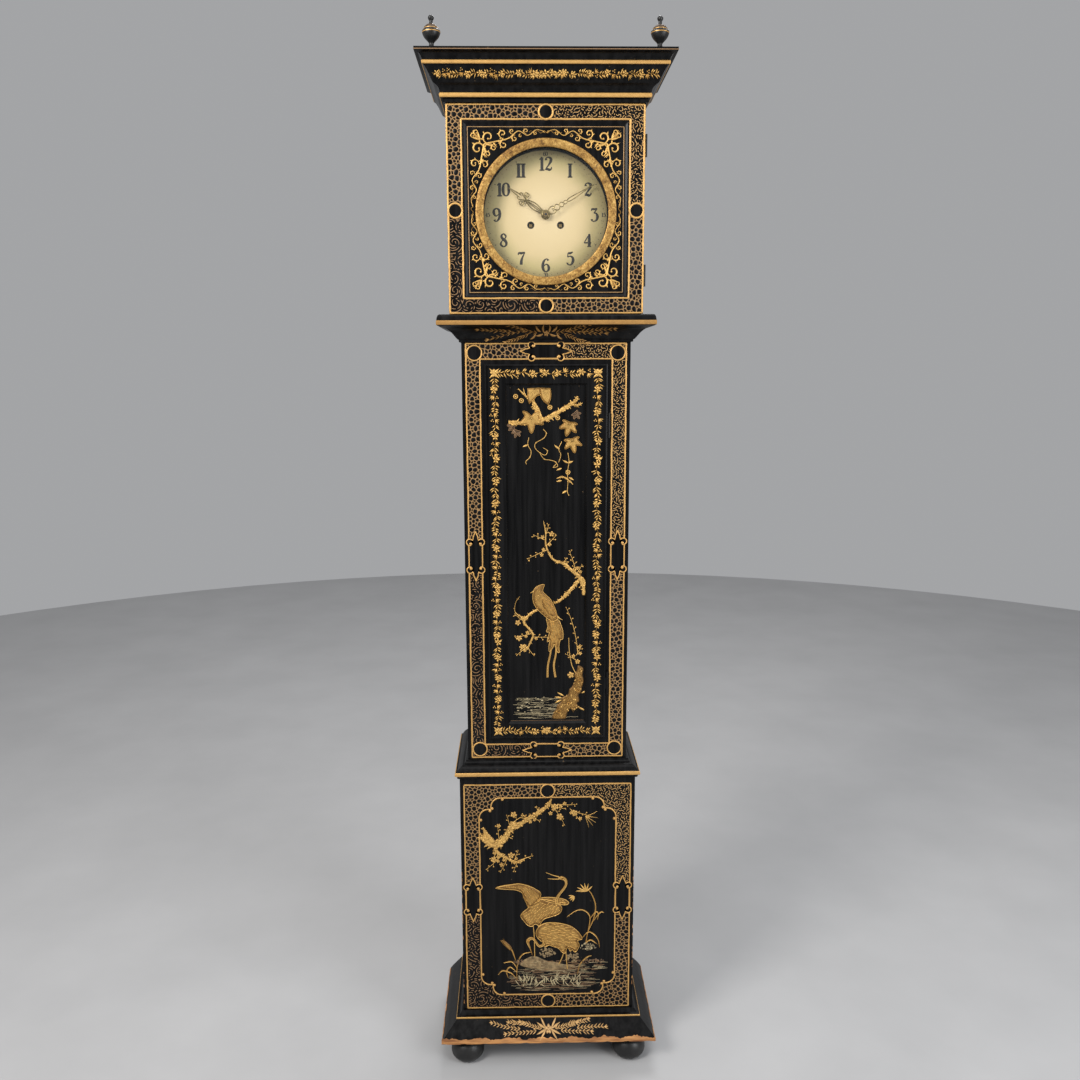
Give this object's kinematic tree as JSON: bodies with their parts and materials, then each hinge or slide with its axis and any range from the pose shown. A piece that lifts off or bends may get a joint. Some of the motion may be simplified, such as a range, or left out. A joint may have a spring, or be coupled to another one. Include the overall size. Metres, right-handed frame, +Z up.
{
  "type": "grandfather clock",
  "caption": "Tall black japanned longcase clock with raised gilt chinoiserie, a sliding hood, hinged doors, weights, striking train and pendulum on bun feet.",
  "frame": {"origin": "centre of the bounding box's base, on the floor under the middle of the clock", "axes": "+Z up, dial and doors face -Y, +X to the right of a person facing the dial"},
  "size_m": [0.4648, 0.266, 2.065],
  "materials": {
    "black_lacquer": "black japanned lacquer, semi-gloss, with raised gilt chinoiserie",
    "gilt": "carved ring with satin gilding",
    "foot_black": "turned wood, satin black",
    "pine": "plain brown-stained softwood",
    "brass": "old polished brass",
    "steel": "grey steel",
    "dial_paint": "aged cream paint with black numerals",
    "clear_glass": "clear",
    "lead": "dull grey",
    "gut_line": "twisted gut"
  },
  "bodies": {
    "case": {"foot_front_left": "foot_black", "foot_front_right": "foot_black", "foot_back_left": "foot_black", "foot_back_right": "foot_black", "plinth_moulding": "black_lacquer", "base_front": "black_lacquer", "base_side_left": "black_lacquer", "base_side_right": "black_lacquer", "base_floor": "pine", "backboard": "pine", "trunk_front_frame": "black_lacquer", "trunk_side_left": "black_lacquer", "trunk_side_right": "black_lacquer", "waist_moulding": "black_lacquer", "throat_moulding": "black_lacquer", "seatboard": "pine", "back_plate": "brass", "front_plate": "brass", "dial": "dial_paint", "back_cock": "brass", "bell": "steel", "bell_stand": "steel", "going_line": "gut_line", "going_line_fixed": "gut_line", "strike_line": "gut_line", "strike_line_fixed": "gut_line"},
    "trunk_door": {"trunk_door": "black_lacquer"},
    "hood": {"hood_front_frame": "black_lacquer", "hood_side_left": "black_lacquer", "hood_side_right": "black_lacquer", "cornice": "black_lacquer", "hood_top": "pine", "finial_left": "foot_black", "finial_right": "foot_black"},
    "hood_door": {"hood_door": "black_lacquer", "bezel_ring": "gilt", "door_glass": "clear_glass"},
    "centre_arbor": {"centre_wheel": "brass", "minute_hand": "brass"},
    "hour_pipe": {"hour_wheel": "brass", "hour_hand": "brass"},
    "minute_wheel": {"minute_wheel": "brass"},
    "going_great_wheel": {"going_great_wheel": "brass"},
    "third_wheel": {"third_wheel": "brass"},
    "escape_wheel": {"escape_wheel": "brass"},
    "pallets": {"pallets": "steel"},
    "pendulum": {"pendulum_rod": "steel", "pendulum_bob": "brass"},
    "rating_nut": {"rating_nut": "brass"},
    "going_barrel": {"going_barrel": "brass"},
    "strike_barrel": {"strike_barrel": "brass"},
    "strike_great_wheel": {"strike_great_wheel": "brass"},
    "pin_wheel": {"pin_wheel": "brass"},
    "warning_wheel": {"warning_wheel": "brass"},
    "fly": {"fly": "brass"},
    "hammer": {"hammer": "steel"},
    "going_weight": {"going_weight": "lead"},
    "going_pulley": {"going_pulley": "brass"},
    "strike_weight": {"strike_weight": "lead"},
    "strike_pulley": {"strike_pulley": "brass"}
  },
  "joints": [
    {"name": "trunk_door_hinge", "type": "hinge", "parent": "case", "child": "trunk_door", "pos_m": [0.1214, -0.0658, 1.0815], "axis": [0, 0, 1], "range_deg": [0, 105]},
    {"name": "hood_slide", "type": "slide", "parent": "case", "child": "hood", "axis": [0, -1, 0], "range_m": [0, 0.3]},
    {"name": "hood_door_hinge", "type": "hinge", "parent": "hood", "child": "hood_door", "pos_m": [0.1852, -0.0642, 1.7385], "axis": [0, 0, 1], "range_deg": [0, 110]},
    {"name": "pendulum_swing", "type": "hinge", "parent": "case", "child": "pendulum", "pos_m": [0, 0.062, 1.801], "axis": [0, 1, 0], "range_deg": [-2.5, 2.5]},
    {"name": "pallet_swing", "type": "hinge", "parent": "case", "child": "pallets", "pos_m": [0, 0.035, 1.801], "axis": [0, 1, 0], "range_deg": [-2.5, 2.5]},
    {"name": "rating_nut_turn", "type": "hinge", "parent": "pendulum", "child": "rating_nut", "pos_m": [0, 0.062, 0.7415], "axis": [0, 0, 1], "continuous": true},
    {"name": "minute_turn", "type": "hinge", "parent": "case", "child": "centre_arbor", "pos_m": [0, 0, 1.734], "axis": [0, 1, 0], "continuous": true},
    {"name": "hour_turn", "type": "hinge", "parent": "case", "child": "hour_pipe", "pos_m": [0, -0.03, 1.734], "axis": [0, 1, 0], "continuous": true},
    {"name": "minute_wheel_turn", "type": "hinge", "parent": "case", "child": "minute_wheel", "pos_m": [0, -0.025, 1.758], "axis": [0, 1, 0], "continuous": true},
    {"name": "great_wheel_turn", "type": "hinge", "parent": "case", "child": "going_great_wheel", "pos_m": [0.028, 0.0345, 1.7155], "axis": [0, 1, 0], "continuous": true},
    {"name": "third_wheel_turn", "type": "hinge", "parent": "case", "child": "third_wheel", "pos_m": [0.014, 0.017, 1.7575], "axis": [0, 1, 0], "continuous": true},
    {"name": "escape_wheel_turn", "type": "hinge", "parent": "case", "child": "escape_wheel", "pos_m": [0, 0.035, 1.777], "axis": [0, 1, 0], "continuous": true},
    {"name": "pin_wheel_turn", "type": "hinge", "parent": "case", "child": "pin_wheel", "pos_m": [-0.038, 0.03, 1.7461], "axis": [0, 1, 0], "continuous": true},
    {"name": "strike_great_wheel_turn", "type": "hinge", "parent": "case", "child": "strike_great_wheel", "pos_m": [-0.028, -0.0095, 1.7155], "axis": [0, 1, 0], "continuous": true},
    {"name": "warning_wheel_turn", "type": "hinge", "parent": "case", "child": "warning_wheel", "pos_m": [-0.028, 0.011, 1.7649], "axis": [0, 1, 0], "continuous": true},
    {"name": "fly_turn", "type": "hinge", "parent": "case", "child": "fly", "pos_m": [-0.04, 0.027, 1.7795], "axis": [0, 1, 0], "continuous": true},
    {"name": "hammer_lift", "type": "hinge", "parent": "case", "child": "hammer", "pos_m": [-0.058, 0.03, 1.736], "axis": [0, 1, 0], "range_deg": [-10, 0]},
    {"name": "going_weight_travel", "type": "slide", "parent": "case", "child": "going_weight", "axis": [0, 0, 1], "range_m": [0, 1], "deforming": ["going_line", "going_line_fixed"]},
    {"name": "strike_weight_travel", "type": "slide", "parent": "case", "child": "strike_weight", "axis": [0, 0, 1], "range_m": [0, 1], "deforming": ["strike_line", "strike_line_fixed"]},
    {"name": "going_barrel_turn", "type": "hinge", "parent": "case", "child": "going_barrel", "pos_m": [0.028, 0.005, 1.7155], "axis": [0, 1, 0], "range_deg": [0, 5570]},
    {"name": "strike_barrel_turn", "type": "hinge", "parent": "case", "child": "strike_barrel", "pos_m": [-0.028, 0.008, 1.7155], "axis": [0, 1, 0], "range_deg": [0, 5570]},
    {"name": "going_pulley_turn", "type": "hinge", "parent": "going_weight", "child": "going_pulley", "pos_m": [0.028, 0.007, 0.384], "axis": [0, 1, 0], "range_deg": [0, 2790]},
    {"name": "strike_pulley_turn", "type": "hinge", "parent": "strike_weight", "child": "strike_pulley", "pos_m": [-0.0692, 0.007, 0.384], "axis": [0, 1, 0], "range_deg": [-2790, 0]}
  ],
  "couplings": [
    {"joint": "pallet_swing", "follows": "pendulum_swing", "ratio": 1},
    {"joint": "hour_turn", "follows": "minute_turn", "ratio": 0.083333},
    {"joint": "minute_wheel_turn", "follows": "minute_turn", "ratio": -0.33333},
    {"joint": "great_wheel_turn", "follows": "minute_turn", "ratio": -0.083333},
    {"joint": "third_wheel_turn", "follows": "minute_turn", "ratio": -7.5},
    {"joint": "escape_wheel_turn", "follows": "minute_turn", "ratio": 60},
    {"joint": "strike_great_wheel_turn", "follows": "pin_wheel_turn", "ratio": -0.095238},
    {"joint": "warning_wheel_turn", "follows": "pin_wheel_turn", "ratio": -8},
    {"joint": "fly_turn", "follows": "pin_wheel_turn", "ratio": 56},
    {"joint": "going_barrel_turn", "follows": "going_weight_travel", "rad_per_m": 97.087},
    {"joint": "strike_barrel_turn", "follows": "strike_weight_travel", "rad_per_m": 97.087},
    {"joint": "going_pulley_turn", "follows": "going_weight_travel", "rad_per_m": 48.544},
    {"joint": "strike_pulley_turn", "follows": "strike_weight_travel", "rad_per_m": -48.544}
  ]
}
